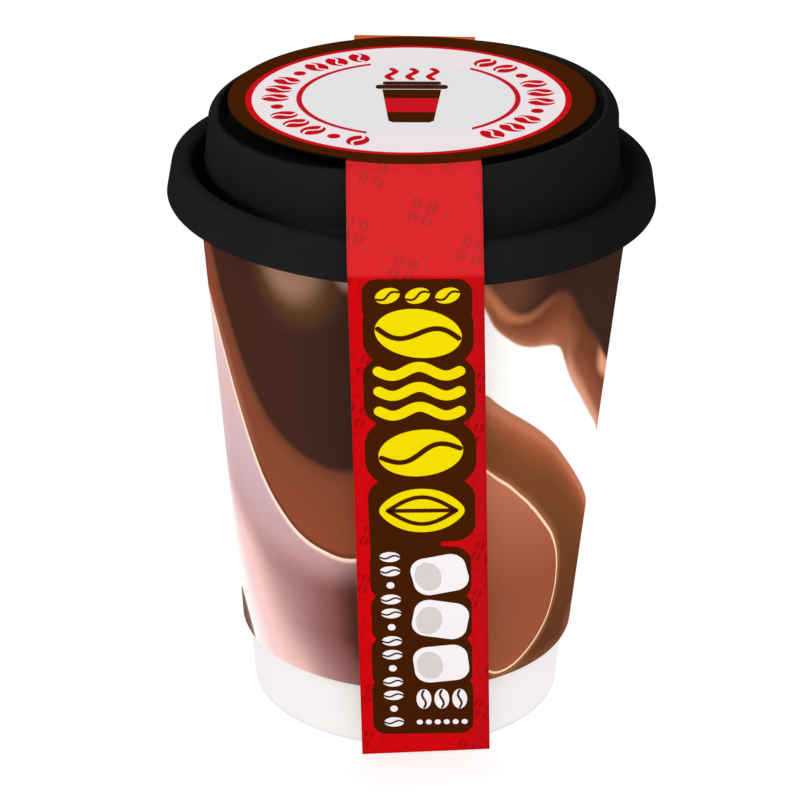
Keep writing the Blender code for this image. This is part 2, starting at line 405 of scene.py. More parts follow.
def cup_material():
    """White coated board, with the fibres, and the crimp pressed inside the foot ring."""
    graph = Graph("white_board", 0.55, 0.1)
    crimp = (graph.y.calc("ARCTAN2", graph.x) * 110.0).calc("SINE")
    inside = length(graph.x, graph.y).step(30.0, 29.4) * graph.z.step(3.4, 2.6)
    fibre = graph.noise(2.6, 4.0)
    white = graph.over(PAPER_WHITE, (235, 234, 234), graph.noise(0.25, 3.0) * 0.5)
    colour = graph.over((226, 224, 222), white, graph.z.step(0.2, 1.2))
    return graph.surface(colour, fibre, 0.48, 0.62, crimp * inside * 6.0 + fibre, 0.012)


def wrap_angles():
    """Even angles, with a close pair at the lap joint at the back."""
    seam = math.pi / 2
    angles = [a for a in even_angles() if abs(a - seam) > 0.004]
    return sorted(angles + [seam - 0.0012, seam + 0.0012])


def lap_shift(angle, r, z):
    """The outer wrap's overlap at the back: a step at the seam that fades out along the lap."""
    past = math.degrees(angle) - 90.0
    if r < wrap_radius(z) - 0.4 or not 0.0 < past < WRAP_LAP_WIDTH_DEG:
        return 0.0
    return WRAP_LAP_STEP * (1.0 - past / WRAP_LAP_WIDTH_DEG) ** 0.5


def wrap_mesh():
    inner_top = cup_wall_radius(WRAP_TOP) + FIT_GAP
    inner_bottom = cup_wall_radius(WRAP_BOTTOM) + FIT_GAP
    edge = (WRAP_BOTTOM_RADIUS - WRAP_EDGE_ROUND, WRAP_BOTTOM + WRAP_EDGE_ROUND)
    profile = [(inner_top, WRAP_TOP)]
    for i in range(WRAP_ROWS + 1):
        height = WRAP_TOP + (edge[1] - WRAP_TOP) * i / WRAP_ROWS
        profile.append((wrap_radius(height), height))
    profile += arc(edge, WRAP_EDGE_ROUND, 0, -90, 6)[1:]
    profile.append((inner_bottom, WRAP_BOTTOM + 0.1))
    return revolve("wrap_paper", profile, wrap_angles(), lap_shift, closed=True)


# The flowing print on the wrap. Each line is (degrees round from the front, height in mm).
DARK_EDGE = [
    (-180, 92), (-150, 101), (-122, 107), (-95, 107), (-80, 104), (-70, 101), (-65, 94), (-60, 87),
    (-50, 74.7), (-44, 69.7), (-38, 66.6), (-30, 64), (-20, 62.9), (-10, 66), (-2, 82), (6, 102), (12, 108),
    (19, 103), (22, 100.2), (25, 97.5), (28, 95.9), (31, 95.4), (34, 96), (38, 97.7), (41, 98.4), (44, 98.1),
    (47, 96.2), (50, 93.6), (54, 89.7), (58, 86.8), (62, 84.4), (66, 81.8), (70, 79.3), (76, 76.3),
    (90, 71.6), (108, 67), (128, 74), (155, 86), (180, 92),
]
COPPER_EDGE = [
    (-180, 77), (-150, 80), (-120, 80), (-100, 83), (-86, 87), (-79, 87.2), (-74, 85), (-68, 80), (-60, 70),
    (-52.5, 60), (-48, 55), (-41.5, 50), (-34, 46), (-27, 44.2), (-18, 43.4), (-10, 46), (-2, 62), (5, 84),
    (11, 98), (15, 101), (19, 97.6), (22, 93.7), (26, 91), (30, 89), (34, 88), (38, 87.6), (42, 87),
    (44.5, 85.9), (46.5, 83.1), (49, 79.7), (51.5, 77.1), (54, 75.0), (58, 71.9), (62, 68.9), (66, 66.3),
    (70, 64.0), (76, 60.7), (90, 53), (105, 48.5), (122, 51), (150, 66), (180, 77),
]
MILK_EDGE = [
    (-180, 25), (-150, 20), (-120, 17), (-100, 17), (-84, 16), (-80, 20), (-77, 22.9), (-74, 22.2), (-70, 20),
    (-66, 16.6), (-62, 12), (-50, 3), (-25, 3), (-14, 12), (-6, 38), (2, 62), (9, 76), (14, 80.8), (20, 80.2),
    (24, 77.9), (28, 75.6), (32, 73.6), (36, 71.5), (40, 69.3), (44, 66.8), (48, 64.1), (52, 61), (56, 58.1),
    (60, 55.3), (64, 52.6), (68, 50), (72, 47.5), (76, 45.1), (90, 37), (106, 29), (126, 26), (150, 27),
    (180, 25),
]
LINE_TOP = 125.0
LINE_SLOPE_SPAN_DEG = 1.2
MM_PER_DEGREE = 0.65

# The milk-chocolate pool: its centre, as above, and its outline as (direction, radius in mm)
POOL_CENTRE = (28.0, 38.0)
POOL_RADIUS = [
    (-180, 18.2), (-150, 18.4), (-120, 20), (-102, 21.2), (-88.3, 21.5), (-85, 22.2), (-78.5, 22.8),
    (-71.8, 22.9), (-64.6, 22.7), (-56.7, 22.5), (-47.8, 22.3), (-39.6, 22), (-31.2, 21.2), (-23, 20.3),
    (-13.4, 19.1), (-3.2, 18), (8.7, 16.8), (21, 15.9), (40.7, 15.22), (60, 16.2), (67.5, 17.12),
    (75, 18.25), (81, 19.6), (86.4, 21.1), (90, 22.1), (93.2, 23.2), (98, 25.5), (104, 28.6), (112, 29.4),
    (125, 26.2), (150, 20.5), (180, 18.2),
]
POOL_TOP = 32.0


def wrap_distance(graph, angle, line):
    """Distance below a line of the print, in mm, square to the line."""
    half = LINE_SLOPE_SPAN_DEG / 2
    before, after = (graph.curve(angle + side, line, LINE_TOP) for side in (-half, half))
    slope = (after - before) / (LINE_SLOPE_SPAN_DEG * MM_PER_DEGREE)
    return ((before + after) * 0.5 - graph.z) * (slope * slope + 1.0) ** -0.5


def pool_distance(graph, angle):
    """Distance outside the outline of the milk-chocolate pool on the wrap's right side."""
    across = (angle - POOL_CENTRE[0]) * MM_PER_DEGREE
    up = graph.z - POOL_CENTRE[1]
    direction = up.calc("ARCTAN2", across) * math.degrees(1.0)
    return length(across, up) - graph.curve(direction, POOL_RADIUS, POOL_TOP)


def patch(graph, angle, centre, reach, start, full):
    """A soft oval patch on the wrap: it starts and is full at these shares of its reach."""
    return out_of(angle, graph.z, centre, reach).step(start, full)


def wrap_dark(graph, angle):
    """The dark chocolate at the top, with soft light patches near the lid."""
    colour = graph.ramp(
        angle, (-90, 70, 40, 30), (-45, 68, 39, 31), (-22, 62, 38, 31), (40, 60, 38, 31), (90, 58, 39, 32)
    )
    for light, *place in (
        ((98, 62, 38), (-32.0, 106.0), (17.0, 15.5), 1.1, 0.55),
        ((161, 122, 101), (-33.0, 106.0), (12.5, 11.5), 1.02, 0.45),
        ((188, 146, 134), (-16.5, 106.5), (5.5, 6.5), 1.0, 0.4),
        ((110, 68, 48), (22.0, 104.0), (17.0, 15.0), 1.05, 0.25),
    ):
        colour = graph.over(colour, light, patch(graph, angle, *place))
    return colour


def wrap_copper_left(graph, angle, below_dark, below_copper):
    colour = graph.ramp(below_dark, (0, 110, 61, 42), (3, 130, 70, 48), (9, 137, 72, 48), (20, 142, 73, 49))
    colour = graph.over(colour, (162, 98, 79), below_copper.step(-3.4, -0.6) * angle.step(-46.0, -60.0))
    thin = below_copper.within(-1.4, -0.7, -0.5, -0.1) * angle.within(-58.0, -48.0, -10.0, 0.0)
    return graph.over(colour, (92, 46, 28), thin * 0.6)


def wrap_copper_right(graph, angle, below_dark, below_copper):
    colour = graph.ramp(
        below_dark / (below_dark - below_copper).calc("MAXIMUM", 0.5),
        (0.0, 94, 53, 37), (0.15, 109, 60, 39), (0.38, 118, 64, 42), (0.6, 137, 78, 54), (0.8, 151, 89, 63),
        (0.92, 180, 112, 86), (1.0, 214, 150, 124),
    )
    colour = graph.over(colour, (194, 120, 82), below_dark.step(2.6, 0.9) * angle.step(45.0, 20.0))
    crest = below_dark.within(-0.2, 1.4, 2.6, 4.7) * angle.within(63.0, 71.0, 100.0, 140.0)
    colour = graph.over(colour, (228, 154, 122), crest)
    hollow = patch(graph, angle, (46.0, 86.0), (8.0, 5.5), 1.0, 0.3)
    colour = graph.over(colour, (146, 88, 63), hollow * 0.75)
    lip = below_copper.step(-3.2, -0.1) * angle.within(45.5, 52.0, 90.0, 120.0)
    return graph.over(colour, (232, 168, 140), lip * 0.8)


def wrap_copper(graph, angle, below_dark, below_copper):
    """The red-brown band under the dark chocolate, lighter towards the milk."""
    left = wrap_copper_left(graph, angle, below_dark, below_copper)
    right = wrap_copper_right(graph, angle, below_dark, below_copper)
    return graph.over(left, right, angle.step(-4.0, 12.0))


def wrap_milk(graph, angle, below_copper):
    """The milk: white on the right, flowing to pink and mauve on the left of the front strip."""
    swing = angle.step(-28.0, -50.0) * 0.7 + 0.05
    near_foot = (graph.z - 25.0).calc("MINIMUM", 0.0)
    low = graph.ramp(
        (graph.z - 24.0) * swing + angle + near_foot * angle.step(-48.0, -34.0),
        (-80, 254, 252, 248), (-70, 254, 250, 246), (-64, 252, 230, 230), (-58, 244, 208, 208),
        (-52, 246, 199, 194), (-46, 221, 175, 168), (-40, 188, 143, 140), (-36, 171, 127, 125),
        (-32, 156, 110, 109), (-28, 143, 94, 92), (-24, 132, 83, 80), (-20, 108, 64, 57), (-17, 89, 47, 40),
        (-13, 84, 43, 35), (0, 92, 52, 44),
    )
    glow = below_copper.step(9.0, 1.0) * (angle.step(-28.0, -18.0) * -0.6 + 1.0)
    low = graph.over(low, (203, 153, 145), glow * 0.62)
    high = graph.ramp(
        graph.z,
        (36, 180, 136, 135), (44, 198, 156, 157), (54, 206, 172, 178), (62, 214, 180, 184),
        (70, 224, 183, 182), (77, 229, 195, 193), (82, 242, 216, 208), (90, 252, 240, 228),
    )
    high = graph.over(high, (226, 202, 202), angle.step(-64.0, -80.0) * 0.55)
    lean = (angle + 50.0).calc("MINIMUM", 0.0) * 0.25 - (angle + 28.0).calc("MAXIMUM", 0.0) * 0.22
    left = graph.over(low, high, (graph.z + lean).step(34.0, 45.0))
    return graph.over(left, (254, 253, 251), angle.step(-4.0, 8.0))


def wrap_brown(graph, angle, below_milk, outside_pool):
    """The brown under the milk, with its lit upper edge."""
    deep = graph.ramp(
        graph.z, (14, 95, 52, 31), (30, 106, 61, 37), (40, 109, 64, 38), (56, 119, 69, 41), (70, 127, 74, 42)
    )
    lit = graph.ramp(
        below_milk * (angle.step(34.0, 54.0) * 0.8 + 1.0),
        (0, 178, 121, 93), (0.5, 181, 117, 89), (1.3, 191, 115, 85), (2.0, 184, 108, 78), (2.7, 168, 95, 64),
        (3.6, 158, 88, 57), (4.3, 147, 81, 50), (5.4, 139, 78, 48), (7.1, 128, 73, 42), (9, 120, 70, 40),
    )
    body = graph.over(lit, deep, below_milk.step(5.0, 10.0))
    # painted highlight: lighter along the wrap's bottom edge
    body = graph.over(body, (190, 120, 90), graph.z.step(17.5, 14.5) * 0.2)
    body = graph.over(body, (196, 122, 82), outside_pool.step(2.0, 0.2) * 0.4)
    # painted highlight at the wrap's bottom right corner
    corner = patch(graph, angle, (75.0, 17.5), (11.0, 5.5), 1.0, 0.2)
    body = graph.over(body, (148, 92, 64), corner * 0.45)
    left = graph.ramp(below_milk, (0, 150, 132, 118), (2.5, 124, 92, 78), (9, 126, 76, 62))
    return graph.over(body, left, angle.step(-30.0, -50.0))


def wrap_pool(graph):
    return graph.ramp(
        graph.z,
        (14, 163, 90, 66), (19, 153, 83, 57), (34, 151, 81, 56), (40, 160, 88, 62), (47, 170, 96, 71),
        (53, 176, 105, 79), (58, 188, 113, 86), (68, 196, 119, 93),
    )


def wrap_material():
    """Chocolate and milk flowing round the cup, as smooth fields of colour."""
    graph = Graph("wrap_print", 0.4, 0.0)
    angle = graph.x.calc("ARCTAN2", graph.y * -1.0) * math.degrees(1.0)
    below_dark = wrap_distance(graph, angle, DARK_EDGE)
    below_copper = wrap_distance(graph, angle, COPPER_EDGE)
    below_milk = wrap_distance(graph, angle, MILK_EDGE)
    outside_pool = pool_distance(graph, angle)
    copper = wrap_copper(graph, angle, below_dark, below_copper)
    milk = wrap_milk(graph, angle, below_copper)
    brown = wrap_brown(graph, angle, below_milk, outside_pool)

    colour = graph.over(wrap_dark(graph, angle), copper, below_dark.step(-0.8, 0.9))
    colour = graph.over(colour, milk, below_copper.step(-0.35, 0.25))
    line = below_copper.within(-0.3, 0.0, 0.2, 1.1) * angle.step(4.0, -8.0)
    colour = graph.over(colour, (255, 226, 206), line)
    colour = graph.over(colour, brown, below_milk.step(-0.16, 0.2))
    colour = graph.over(colour, wrap_pool(graph), outside_pool.step(0.2, -0.2))
    widening = angle.step(36.0, 27.0) * -0.22 + graph.z.step(38.0, 46.0) * -0.16 + 1.0
    rim = (outside_pool * widening).within(-0.38, -0.06, 0.06, 0.38)
    colour = graph.over(colour, (255, 222, 190), rim)
    return graph.paper(colour, 0.012, 0.006, 0.36, 0.46)


def clamped(share):
    return max(0.0, min(1.0, share))


def place_lid(mesh):
    """Slopes the dome's top and moves the lid to its place on the cup."""
    crest = LID_RIM_CENTRE[1] + LID_RIM_ROUND
    swell_start, swell_end = LID_SWELL_RADII
    for vertex in mesh.vertices:
        x, y, z = vertex.co / MM
        share = max(0.0, (z - LID_SLOPE_START) / (crest - LID_SLOPE_START))
        off = abs(math.atan2(y, x) - LID_SWELL_DIRECTION) / LID_SWELL_REACH
        swell = share * LID_SWELL * 0.5 * (1.0 + math.cos(math.pi * min(off, 1.0)))
        swell *= clamped((math.hypot(x, y) - swell_start) / (swell_end - swell_start))
        rise = math.tan(LID_RISE_RIGHT) * x + math.tan(LID_RISE_BACK) * y + swell
        grow = 1.0 + swell / LID_RIM_CENTRE[0]
        z += share * rise + math.tan(LID_PITCH) * x
        vertex.co = Vector((x * grow + share * LID_DOME_SHIFT_X + LID_OFFSET_X, y * grow, z)) * MM


def lid_mesh():
    rim_r, rim_z = LID_RIM_CENTRE
    outer = [(0.0, LID_RECESS_FLOOR), (20.0, LID_RECESS_FLOOR)]
    recess_side = [(30.0, LID_RECESS_FLOOR, 0.0), (rim_r - 1.3, LID_RECESS_FLOOR, 0.8)]
    recess_side.append((rim_r - 0.42, rim_z + LID_RIM_ROUND - 0.04, 0.0))
    outer += filleted(recess_side, 8)
    outer += arc(LID_RIM_CENTRE, LID_RIM_ROUND, 96, 0, 20)
    wall_and_skirt = [(rim_r + LID_RIM_ROUND, rim_z - 0.3, 0.0), *LID_GROOVE, *LID_SKIRT]
    outer += filleted(wall_and_skirt, 8)
    room = FIT_GAP + 0.1 + abs(LID_OFFSET_X)
    plug = cup_well_radius() - room
    under = arc(LID_CHANNEL_CENTRE, CUP_BEAD_RADIUS + room, 0, 180, 10)
    under += [(plug + 0.6, LID_UNDERSIDE + 1.2), (plug, LID_UNDERSIDE), (0.0, LID_UNDERSIDE)]
    mesh = revolve("lid_shell", outer + under, even_angles())
    place_lid(mesh)
    return mesh


def lid_material():
    """Matt black moulded plastic with a very fine grain; painted shade darkens its right side, the groove's
    left and the rim under the disc's edge, and painted light lifts the groove's front and the rim's right.
    """
    graph = Graph("black_moulded", 0.62, 0.0)
    x, y, z = graph.x, graph.y, graph.z
    grain = graph.noise(4.5, 3.0)
    black = graph.over(LID_BLACK, (32, 32, 32), graph.noise(0.12, 2.0))
    # painted shade: the black darkens towards the lid's right side
    black = graph.over(black, (22, 21, 23), x.step(4.0, 40.0))
    reach = length(x - LID_OFFSET_X, y)
    # painted shade and light in the groove: black at the left, lifted at the front, dim at the right
    groove_painted_shading = graph.over((40, 40, 41), (6, 6, 6), x.step(-12.0, -36.0))
    groove_painted_shading = graph.over(groove_painted_shading, (24, 23, 25), x.step(2.0, 26.0))
    black = graph.over(black, groove_painted_shading, reach.step(43.0, 41.9) * z.step(113.4, 112.0))
    # painted shadow of the disc inside the rim, widest at the front left, with painted light lifting it at
    # the right
    front_left = x.step(-4.0, -24.0) * y.step(0.0, -16.0)
    inside_rim = (reach - front_left).step(37.4, 36.6) * z.step(120.8, 121.8)
    disc_painted_shadow = graph.over((7, 7, 7), (33, 32, 34), x.step(-4.0, 14.0))
    black = graph.over(black, disc_painted_shadow, inside_rim)
    return graph.surface(black, grain, 0.55, 0.72, grain, 0.02)


def rounded_path(corners, radii, steps):
    """A 3D polyline with each inner corner replaced by an arc of its own radius."""
    points = [corners[0]]
    for i in range(1, len(corners) - 1):
        before = (corners[i - 1] - corners[i]).normalized()
        after = (corners[i + 1] - corners[i]).normalized()
        turn = math.pi - before.angle(after)
        reach = radii[i - 1] * math.tan(turn / 2)
        start = corners[i] + before * reach
        end = corners[i] + after * reach
        centre = corners[i] + (before + after).normalized() * (radii[i - 1] / math.cos(turn / 2))
        for k in range(steps + 1):
            arm = (start - centre).slerp(end - centre, k / steps).normalized()
            points.append(centre + arm * radii[i - 1])
    points.append(corners[-1])
    return points


def with_more_rows(path, longest, near):
    """Adds points on long straight stretches: one near each end and even ones between."""
    points = [path[0]]
    for start, end in zip(path[:-1], path[1:]):
        length = (end - start).length
        if length > 3 * near:
            inner = length - 2 * near
            count = max(1, math.ceil(inner / longest))
            for k in range(count + 1):
                points.append(start.lerp(end, (near + inner * k / count) / length))
        points.append(end)
    return points


class Strip:
    """One of the band's strips, as a place to put points: u across it and s down from its fold."""

    def __init__(self, centre_line, yaw, end_slope):
        corners = [Vector(corner) for corner in centre_line]
        self.path = with_more_rows(rounded_path(corners, STRIP_BEND_RADII, 8), longest=5.0, near=0.5)
        self.across = Vector((math.cos(yaw), math.sin(yaw), 0.0))
        self.end_slope = end_slope
        self.along = [0.0]
        for start, end in zip(self.path[:-1], self.path[1:]):
            self.along.append(self.along[-1] + (end - start).length)
        nearest = min(range(len(self.path)), key=lambda i: (self.path[i] - corners[3]).length)
        self.fold = self.along[nearest]

    def tilted(self, point):
        """A point moved with the disc's tilt, which fades out down to the fold."""
        share = clamped((point.z - STRIP_FOLD) / (DISC_TOP - STRIP_FOLD))
        return Vector((point.x, point.y, point.z + share * math.tan(DISC_TILT) * point.x))

    def rows(self):
        rows = []
        for i, centre in enumerate(self.path):
            rise = self.end_slope * max(0.0, 1.0 - (len(self.path) - 1 - i) / END_SLOPE_ROWS)
            upwards = (self.path[max(i, 1) - 1] - self.path[max(i, 1)]).normalized()
            width = STRIP_END_WIDTH + (STRIP_TOP_WIDTH - STRIP_END_WIDTH) * centre.z / DISC_TOP
            row = []
            for column in range(STRIP_COLUMNS + 1):
                side = (column / STRIP_COLUMNS - 0.5) * width
                row.append(self.tilted(centre + self.across * side + upwards * rise * side))
            rows.append(row)
        return rows

    def at(self, u, s, lift):
        """The point u mm across and s mm down from the fold, lifted off the printed face."""
        wanted = self.fold + s
        i = 0
        while i < len(self.along) - 2 and self.along[i + 1] < wanted:
            i += 1
        start, end = self.path[i], self.path[i + 1]
        t = (wanted - self.along[i]) / (self.along[i + 1] - self.along[i])
        normal = self.across.cross((end - start).normalized()) * -1.0
        return self.tilted(start.lerp(end, t) + self.across * u) + normal * lift


FRONT = Strip(FRONT_STRIP, FRONT_STRIP_YAW, FRONT_END_SLOPE)
BACK = Strip(BACK_STRIP, BACK_STRIP_YAW, 0.0)


def disc_point(x, y, lift=0.0):
    return Vector((x, y, DISC_TOP + math.tan(DISC_TILT) * x + lift))


def disc_edge_row(side, first_row):
    """The disc's edge where a strip starts: side is -1 at the front and 1 at the back."""
    points = []
    for point in first_row:
        reach = DISC_RADII[1] * math.sqrt(1.0 - ((point.x - DISC_CENTRE[0]) / DISC_RADII[0]) ** 2)
        points.append(disc_point(point.x, DISC_CENTRE[1] + side * reach))
    return points


def disc_angle(point):
    across = (point.x - DISC_CENTRE[0]) / DISC_RADII[0]
    return math.atan2((point.y - DISC_CENTRE[1]) / DISC_RADII[1], across)


def disc_side_arc(start, end):
    """The disc's edge from one strip round to the other, without its ends."""
    angle_start = disc_angle(start)
    angle_end = disc_angle(end)
    if angle_end < angle_start:
        angle_end += math.tau
    points = []
    for i in range(1, DISC_SIDE_STEPS):
        angle = angle_start + (angle_end - angle_start) * i / DISC_SIDE_STEPS
        x = DISC_CENTRE[0] + DISC_RADII[0] * math.cos(angle)
        y = DISC_CENTRE[1] + DISC_RADII[1] * math.sin(angle)
        points.append(disc_point(x, y))
    return points


def band_mesh():
    """The printed face of the band: disc and two strips in one sheet."""
    sheet = bmesh.new()

    def put_row(points):
        return [sheet.verts.new(point * MM) for point in points]

    front_rows = FRONT.rows()
    back_rows = BACK.rows()
    front_edge = disc_edge_row(-1.0, front_rows[0])
    back_edge = disc_edge_row(1.0, back_rows[0])
    front_row = put_row(front_edge)
    right_row = put_row(disc_side_arc(front_edge[-1], back_edge[-1]))
    back_row = put_row(back_edge)
    left_row = put_row(disc_side_arc(back_edge[0], front_edge[0]))
    outer = front_row + right_row + back_row[::-1] + left_row
    hub = disc_point(*DISC_CENTRE)
    rim = [vertex.co / MM for vertex in outer]
    for share in DISC_RINGS:
        inner = put_row([hub + (point - hub) * share for point in rim])
        for k in range(len(outer)):
            n = (k + 1) % len(outer)
            sheet.faces.new([outer[k], outer[n], inner[n], inner[k]])
        outer = inner
    centre = sheet.verts.new(hub * MM)
    for k in range(len(outer)):
        sheet.faces.new([centre, outer[k], outer[(k + 1) % len(outer)]])
    for previous, rows, order in ((front_row, front_rows, 1), (back_row, back_rows, -1)):
        for row in rows:
            current = put_row(row)
            for k in range(STRIP_COLUMNS):
                quad = [previous[k], current[k], current[k + 1], previous[k + 1]]
                sheet.faces.new(quad[::order])
            previous = current
    mesh = bpy.data.meshes.new("band_card")
    sheet.to_mesh(mesh)
    sheet.free()
    return mesh


def stamps(u, s):
    """Faint round stamps in a slanting lattice: a thin ring with four small ovals in it."""
    (a_u, a_s), (b_u, b_s) = STAMP_STEPS
    area = a_u * b_s - a_s * b_u
    along_a = u * (b_s / area) - s * (b_u / area)
    along_b = s * (a_u / area) - u * (a_s / area)
    near_a, near_b = ((along + 0.5).calc("FRACT") - 0.5 for along in (along_a, along_b))
    p = near_a * a_u + near_b * b_u
    q = near_a * a_s + near_b * b_s
    ring = length(p, q).within(3.95, 4.1, 4.3, 4.45)
    cos, sin = STAMP_TURN
    a = abs(p * cos + q * sin) - 1.35
    b = (abs(q * cos - p * sin) - 1.3) / 1.15
    beans = length(a, b).step(1.1, 0.85) * abs(a).step(0.1, 0.3)
    return beans.calc("MAXIMUM", ring * 0.5)


def disc_colour(graph):
    """The disc's white field, red ring and brown rim, with two thin arcs in the white."""
    reach = length(graph.x - PRINT_CENTRE[0], graph.y - PRINT_CENTRE[1])
    colour = graph.over((228, 225, 229), (234, 225, 228), reach.step(19.6, 21.4))
    for radius, outside in ((WHITE_FIELD_RADIUS, (206, 14, 26)), (RED_RING_RADIUS, CARD_BROWN)):
        colour = graph.over(colour, outside, reach.step(radius - 0.05, radius + 0.05))
    arc_ends = graph.x.step(-8.9, -9.0).calc("MAXIMUM", graph.x.step(10.4, 10.5))
    return graph.over(colour, (194, 24, 36), reach.within(20.2, 20.3, 21.25, 21.35) * arc_ends)


def strip_colour(graph):
    """The strips' red with its faint stamps; painted sheen makes the red and the stamps a little paler above
    the fold, where the strip faces up.
    """
    drop = graph.z * -1.0 + STRIP_FOLD
    u = graph.x - drop.calc("MAXIMUM", 0.0) * FRONT_LEAN - FRONT_STRIP[3][0]
    over_lid = (drop + (STRIP_SHOULDER - STRIP_FOLD)).calc("MINIMUM", 0.0)
    s = over_lid * OVER_LID_EXTRA_LENGTH + drop * FRONT_LENGTH_PER_HEIGHT
    mark = stamps(u - STAMP_START[0], s - STAMP_START[1])
    # painted sheen: above the fold the red and its stamps turn paler and pinker
    above = drop.step(0.6, -0.6)
    red = graph.over(CARD_RED, (186, 14, 20), u.step(5.0, 12.0))
    red = graph.over(red, (211, 38, 44), above)
    stamp = graph.over((140, 10, 16), (168, 48, 38), above)
    return graph.over(red, stamp, mark * (above * 0.1 + 0.65))


def band_material():
    """The printed face: the disc's print and the strips' red, with a painted copper highlight at the rear
    bend.
    """
    graph = Graph("band_print", 0.45, 0.0)
    outward = out_of(graph.x, graph.y, DISC_CENTRE, DISC_RADII)
    low = graph.z.step(124.0, 123.6)
    front = strip_colour(graph)
    # painted highlight: copper where the back strip bends over the lid
    back = graph.over(front, REAR_BEND_HIGHLIGHT, graph.z.step(122.4, 124.0))
    on_front = outward.step(1.032, 1.036).calc("MAXIMUM", low) * graph.y.step(0.5, -0.5)
    on_back = outward.step(1.002, 1.006).calc("MAXIMUM", low) * graph.y.step(-0.5, 0.5)
    colour = graph.over(disc_colour(graph), front, on_front)
    return graph.paper(graph.over(colour, back, on_back), 0.015, 0.008, 0.42, 0.52)


def card_back_material():
    """Unprinted grey-white back of the card."""
    graph = Graph("card_back", 0.8, 0.05)
    fibre = graph.noise(1.8, 5.0, (1.0, 1.0, 0.35))
    return graph.paper(graph.over((214, 209, 202), (232, 228, 222), fibre), 0.02, 0.02, 0.7, 0.85)


def card_edge_material():
    """The cut edge: painted shadow makes it nearly black round the disc's rim, paler on the strips."""
    graph = Graph("card_edge", 0.7, 0.05)
    pale = graph.over((176, 96, 96), (198, 128, 126), graph.noise(4.0, 3.0))
    # painted shadow: the disc's cut edge near black
    return graph.paper(graph.over(pale, (14, 7, 3), graph.z.step(123.2, 124.0)), 0.03, 0.02, 0.6, 0.8)


def plain_ink(name, colour, other):
    """Flat printed colour with a faint unevenness in the ink."""
    graph = Graph(name, 0.45, 0.0)
    return graph.paper(graph.over(colour, other, graph.noise(0.8, 3.0)), 0.01, 0.008, 0.42, 0.52)


def make_band():
    mesh = band_mesh()
    for material in (band_material(), card_back_material(), card_edge_material()):
        mesh.materials.append(material)
    shade(mesh, 25)
    piece = add_piece("band_card", mesh, "printed_card", "band")
    thicken = piece.modifiers.new("Card", "SOLIDIFY")
    thicken.thickness = CARD * MM
    thicken.offset = -1.0
    thicken.use_even_offset = True
    thicken.material_offset = 1
    thicken.material_offset_rim = 2


def turned(points, centre_u, centre_s, turn_deg):
    """Points round the origin, turned by an angle and moved to a centre."""
    cos = math.cos(math.radians(turn_deg))
    sin = math.sin(math.radians(turn_deg))
    return [(centre_u + u * cos - s * sin, centre_s + u * sin + s * cos) for u, s in points]


def oval(centre_u, centre_s, half_u, half_s, turn_deg=0.0):
    """An oval outline, turned by an angle."""
    steps = 56
    angles = [math.tau * i / steps for i in range(steps)]
    points = [(half_u * math.cos(angle), half_s * math.sin(angle)) for angle in angles]
    return turned(points, centre_u, centre_s, turn_deg)


def soft_box(centre_u, centre_s, half_u, half_s, corner, turn_deg=0.0):
    """A rectangle's outline with round corners, turned by an angle."""
    points = []
    for side_u, side_s, start in ((1, 1, 0), (-1, 1, 90), (-1, -1, 180), (1, -1, 270)):
        hub = (side_u * (half_u - corner), side_s * (half_s - corner))
        points += arc(hub, corner, start, start + 90, 8)
    return turned(points, centre_u, centre_s, turn_deg)


def ribbon(line, width):
    """The outline of a line of even width with round ends."""
    left = []
    right = []
    for i, (u, s) in enumerate(line):
        before = line[max(i - 1, 0)]
        after = line[min(i + 1, len(line) - 1)]
        run = Vector((after[0] - before[0], after[1] - before[1])).normalized()
        left.append((u - run.y * width / 2, s + run.x * width / 2))
        right.append((u + run.y * width / 2, s - run.x * width / 2))
    ends = []
    for here, there in ((line[-1], line[-2]), (line[0], line[1])):
        heading = math.degrees(math.atan2(here[1] - there[1], here[0] - there[0]))
        ends.append(arc(here, width / 2, heading + 90, heading - 90, 8)[1:-1])
    return left + ends[0] + right[::-1] + ends[1]


def bend_line(start, end, swing, waves, steps=28):
    """A line from start to end that swings to both sides; half a wave is a plain bow."""
    line = []
    run = Vector((end[0] - start[0], end[1] - start[1]))
    side = Vector((-run.y, run.x)).normalized()
    for i in range(steps + 1):
        t = i / steps
        off = swing * math.sin(math.tau * waves * t)
        line.append((start[0] + run.x * t + side.x * off, start[1] + run.y * t + side.y * off))
    return line


class Print:
    """Printed shapes of one colour, as thin raised films on the card."""

    def __init__(self, name, place, height):
        self.name = name
        self.place = place
        self.height = height
        self.sheet = bmesh.new()

    def add(self, outline):
        top = [self.sheet.verts.new(self.place(u, s, self.height) * MM) for u, s in outline]
        bottom = [self.sheet.verts.new(self.place(u, s, FILM_ROOT) * MM) for u, s in outline]
        count = len(outline)
        self.sheet.faces.new(top)
        self.sheet.faces.new(bottom[::-1])
        for k in range(count):
            n = (k + 1) % count
            self.sheet.faces.new([top[k], bottom[k], bottom[n], top[n]])

    def finish(self, ink, colour, other):
        bmesh.ops.recalc_face_normals(self.sheet, faces=self.sheet.faces[:])
        bmesh.ops.triangulate(self.sheet, faces=[f for f in self.sheet.faces if len(f.verts) > 4])
        mesh = bpy.data.meshes.new(self.name)
        self.sheet.to_mesh(mesh)
        self.sheet.free()
        mesh.materials.append(plain_ink(ink, colour, other))
        add_piece(self.name, mesh, "printed_card")


def add_bean(bodies, slits, centre_u, centre_s, half_u, half_s, turn_deg, slit):
    """A cocoa bean seen from above: its oval, and the curved slit in it."""
    bodies.add(oval(centre_u, centre_s, half_u, half_s, turn_deg))
    reach = half_u * 0.93
    start, end = turned([(-reach, 0.0), (reach, 0.0)], centre_u, centre_s, turn_deg)
    slits.add(ribbon(bend_line(start, end, half_s * 0.3, 1.0), half_s * slit))


